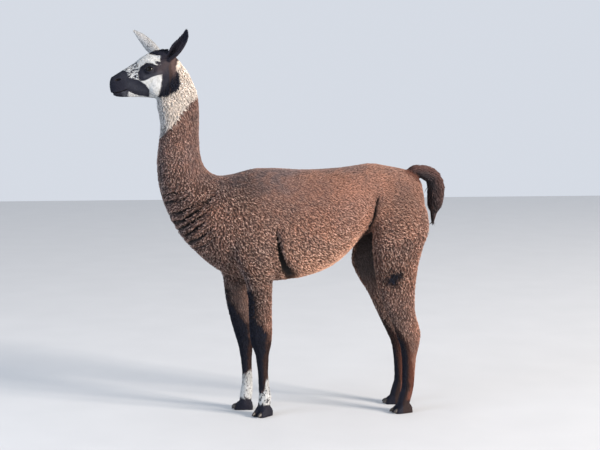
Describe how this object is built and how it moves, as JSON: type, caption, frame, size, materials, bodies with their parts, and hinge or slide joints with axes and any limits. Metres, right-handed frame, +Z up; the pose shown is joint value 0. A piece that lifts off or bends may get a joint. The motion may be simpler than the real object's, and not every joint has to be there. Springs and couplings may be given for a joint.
{
  "type": "llama",
  "caption": "Life-size standing llama with a raised head, upright ears, short crimped wool, an arched tail and two-toed feet, as a still museum-style model.",
  "frame": {"origin": "on the floor under the middle of the animal's bounding box", "axes": "-X towards the nose, +Y to the animal's right, +Z up"},
  "size_m": [1.5142, 0.4076, 1.7356],
  "materials": {
    "brown_wool": "short crimped fleece, matt",
    "dark_hair": "short flat hair, slightly glossy",
    "black_hair": "short flat hair, slightly glossy",
    "cream_wool": "short fluffy wool, matt",
    "white_hair": "short flat hair, matt",
    "nail_horn": "worn horn",
    "eye": "wet and glossy"
  },
  "bodies": {
    "root": {"head": "white_hair", "ear_left": "black_hair", "ear_right": "white_hair", "eye_left": "eye", "eye_right": "eye", "neck_upper": "cream_wool", "neck_lower": "brown_wool", "chest": "brown_wool", "barrel": "brown_wool", "rump": "brown_wool", "tail": "brown_wool", "front_left_upper_leg": "brown_wool", "front_left_lower_leg": "dark_hair", "front_left_foot": "black_hair", "front_left_inner_nail": "nail_horn", "front_left_outer_nail": "nail_horn", "front_right_upper_leg": "brown_wool", "front_right_lower_leg": "dark_hair", "front_right_foot": "black_hair", "front_right_inner_nail": "nail_horn", "front_right_outer_nail": "nail_horn", "hind_left_upper_leg": "brown_wool", "hind_left_lower_leg": "dark_hair", "hind_left_foot": "black_hair", "hind_left_inner_nail": "nail_horn", "hind_left_outer_nail": "nail_horn", "hind_right_upper_leg": "brown_wool", "hind_right_lower_leg": "dark_hair", "hind_right_foot": "black_hair", "hind_right_inner_nail": "nail_horn", "hind_right_outer_nail": "nail_horn"}
  },
  "joints": []
}
